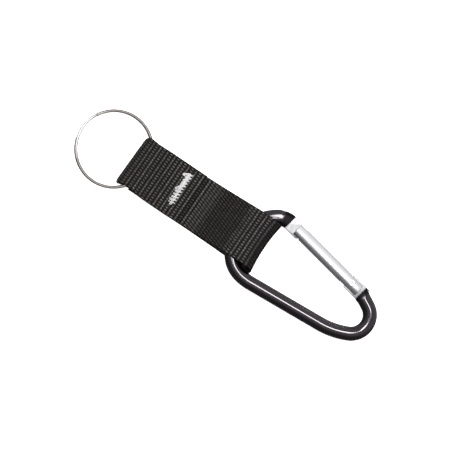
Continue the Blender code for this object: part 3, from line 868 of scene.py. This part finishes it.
def build_tongues(material):
    """The flat tongues that the gate's ears straddle: the nose's, with its longer inner corner, and the hinge's."""
    matrix = gate_frame()
    to_nose = -(OPENING - PIVOT_TO_FACE)
    inner, outer = -3.42 + GATE_SHIFT, 3.42 + GATE_SHIFT
    nose = [
        (to_nose - 2.4, inner, 0),
        (to_nose + 7.6, inner, 0.9),
        (to_nose + 4.4, outer, 0.7),
        (to_nose - 2.4, outer, 0),
    ]
    hinge = [(-1.75, inner, 0.5), (7.6, inner, 0), (7.6, outer, 0), (-1.75, outer, 0.5)]
    return [
        plate(name, filleted(corners, closed=True), 2.0, matrix, material, 0.16)
        for name, corners in (("nose_tongue", nose), ("hinge_tongue", hinge))
    ]


def build_gate(material):
    """A round bar, slotted at each end for the tongues, with a hole for the rivet."""
    matrix = gate_frame()
    nose_end = -(OPENING - PIVOT_TO_FACE) + 4.2
    hinge_end = PIVOT_TO_FACE - 1.4
    radius = 2.95
    profile = [(nose_end, 0), (nose_end, radius - 0.3), (nose_end + 0.1, radius - 0.1), (nose_end + 0.3, radius)]
    profile += [(hinge_end - 0.3, radius), (hinge_end - 0.1, radius - 0.1), (hinge_end, radius - 0.3), (hinge_end, 0)]
    gate = turned("gate_bar", [(x * MM, r * MM, 0) for x, r in profile], 72, 35, axis="X")
    gate.data.transform(Matrix.Translation((0, GATE_SHIFT * MM, 0)))
    gate.data.transform(matrix)
    cutters = [
        block("nose_slot", (nose_end - 3, -6, -1.2), (nose_end + 3.7, 6, 1.2), matrix),
        plate("hinge_slot", [(-1.9, 3.3), (-4.7, -3.9), (9, -3.9), (9, 3.3)], 2.4, matrix, material),
    ]
    bpy.ops.mesh.primitive_cylinder_add(vertices=48, radius=1.36 * MM, depth=12 * MM)
    hole = bpy.context.object
    hole.data.transform(matrix)
    cutters.append(hole)
    for cutter in cutters:
        cut(gate, cutter)
    baked(gate, 30)
    for cutter in cutters:
        bpy.data.objects.remove(cutter, do_unlink=True)
    gate.data.materials.clear()
    gate.data.materials.append(material)
    return gate


def build_rivet(material):
    """A shaft with low, slightly dished heads, set flush in the gate's ears."""
    top = 2.9
    profile = [(0, top - 0.10), (0.55, top - 0.06), (1.0, top + 0.03), (1.2, top)]
    profile += [(1.27, top - 0.12), (1.27, top - 0.75), (0.98, top - 0.8)]
    profile += [(r, -z) for r, z in reversed(profile)]
    rivet = turned("rivet", [(r * MM, 0, z * MM) for r, z in profile], 48, 50)
    rivet.data.transform(gate_frame())
    rivet.data.materials.clear()
    rivet.data.materials.append(material)
    return rivet


# ---------------------------------------------------------------- light and camera


def area(name, location, size, power, size_y):
    light = bpy.data.lights.new(name, "AREA")
    light.shape = "RECTANGLE"
    light.size = size
    light.size_y = size_y
    light.energy = power
    obj = bpy.data.objects.new(name, light)
    obj.location = location
    obj.rotation_euler = (Vector((0.01, 0, 0)) - Vector(location)).to_track_quat("-Z", "Y").to_euler()
    bpy.context.scene.collection.objects.link(obj)


def build_world():
    """Bright to the gate's side and above, dark to the spine's side."""
    world = bpy.data.worlds.new("studio")
    bpy.context.scene.world = world
    world.use_nodes = True
    tree = world.node_tree
    back = tree.nodes["Background"]
    place = tree.nodes.new("ShaderNodeTexCoord")
    split = tree.nodes.new("ShaderNodeSeparateXYZ")
    tree.links.new(place.outputs["Generated"], split.inputs[0])
    sideways = math_node(tree, "MULTIPLY", split.outputs[1], 0.4)
    upwards = math_node(tree, "MULTIPLY", split.outputs[2], 0.3)
    mixed = math_node(tree, "ADD", math_node(tree, "ADD", sideways, upwards), 0.5)
    dark = ((0.0, 0.13), (0.25, 0.14), (0.4, 0.19), (0.5, 0.36))
    levels = dark + ((0.575, 0.55), (0.675, 0.8), (0.8, 0.62), (0.9, 0.77), (1.0, 0.88))
    colour = ramp(tree, mixed, [(position, (v, v, v * 1.02)) for position, v in levels])
    tree.links.new(colour, back.inputs["Color"])
    back.inputs["Strength"].default_value = 1.0


def build_spring(look):
    """The coil in the gate's bore, on a copy of the CAD spring's mesh."""
    mesh = frame["nodes"]["gate_spring"].data.copy()
    mesh.materials.clear()
    mesh.materials.append(look)
    mesh.shade_smooth()
    spring = bpy.data.objects.new("gate_spring_coil", mesh)
    bpy.context.scene.collection.objects.link(spring)
    return spring


def shorten(spring):
    """Give the spring its own copy of its mesh; nothing here shortens it."""
    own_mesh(spring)


def build_stage():
    bpy.ops.mesh.primitive_plane_add(size=6, location=(0, 0, -0.0001))
    floor = bpy.context.object
    floor.name = "floor"
    mat, _, shader = nodes_of("white_floor")
    shader.inputs["Base Color"].default_value = (0.93, 0.93, 0.93, 1)
    shader.inputs["Roughness"].default_value = 0.9
    shader.inputs["Specular IOR Level"].default_value = 0.1
    shader.inputs["Emission Color"].default_value = (1, 1, 1, 1)
    shader.inputs["Emission Strength"].default_value = 0.7
    floor.data.materials.append(mat)
    floor.visible_glossy = False


def build_camera():
    roll = math.radians(34.3)
    camera = bpy.data.cameras.new("camera")
    distance = 0.95
    across = 0.1953
    camera.sensor_width = 36
    camera.lens = 36 * (distance - 0.0035) / across
    camera.clip_end = 10
    obj = bpy.data.objects.new("camera", camera)
    right = Vector((math.cos(roll), math.sin(roll), 0))
    up = Vector((-math.sin(roll), math.cos(roll), 0))
    obj.location = -right * 0.0016 - up * 0.00026 + Vector((0, 0, distance))
    obj.rotation_euler = (0, 0, roll)
    bpy.context.scene.collection.objects.link(obj)
    bpy.context.scene.camera = obj


def main():
    webbing_look = webbing_material()
    thread_look = thread_material()
    ring_look = nickel()
    gate_look = metal("polished_aluminium", (0.88, 0.88, 0.895), 0.22, 700.0, 0.04, (14, 1, 1))
    # painted shade: the milled flats' colour is far darker than bare aluminium, so that the tongues seen from above
    # are not too bright under these lamps
    flat_look = metal("milled_aluminium_painted_shade", (0.148, 0.1455, 0.150), 0.36, 900.0, 0.06, (1, 6, 1))
    steel_look = metal("plain_steel", (0.34, 0.34, 0.345), 0.3, 600.0, 0.1)
    gloss_look = black_gloss()

    (ring_half, ring_length), (car_half, car_length) = build_webbing(webbing_look)
    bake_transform(ring_half)
    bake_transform(car_half)
    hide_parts("webbing_ring_loop", "webbing_strap")
    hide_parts("webbing_carabiner_loop")
    needle = build_tack("bar_tack_top", True, thread_look)
    bobbin = build_tack("bar_tack_underside", False, thread_look)
    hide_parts("bar_tack_needle_thread")
    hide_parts("bar_tack_bobbin_thread")
    for thread in (needle, bobbin):
        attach(thread, "strap")
    ring = build_ring(ring_look)
    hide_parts("split_ring")
    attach(ring, "key_ring")
    rod = build_rod(gloss_look)
    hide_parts("carabiner_frame")
    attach(rod, "carabiner")
    for tongue in build_tongues(flat_look):
        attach(tongue, "carabiner")
    gate = build_gate(gate_look)
    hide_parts("gate")
    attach(gate, "gate")
    rivet = build_rivet(steel_look)
    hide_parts("gate_rivet")
    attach(rivet, "gate")
    spring = build_spring(steel_look)
    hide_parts("gate_spring")
    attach(spring, "gate")
    shorten(spring)
    node = frame["nodes"]["spring_plunger"]
    node.data.materials.clear()
    node.data.materials.append(steel_look)
    node.data.shade_smooth()

    build_stage()
    build_world()
    area("key", (0.10, 0.25, 1.0), 0.50, 7.4, size_y=0.22)
    area("left", (-0.14, 0.05, 1.0), 0.16, 4.0, size_y=0.34)
    build_camera()
    bpy.context.scene.view_settings.view_transform = "Standard"


main()
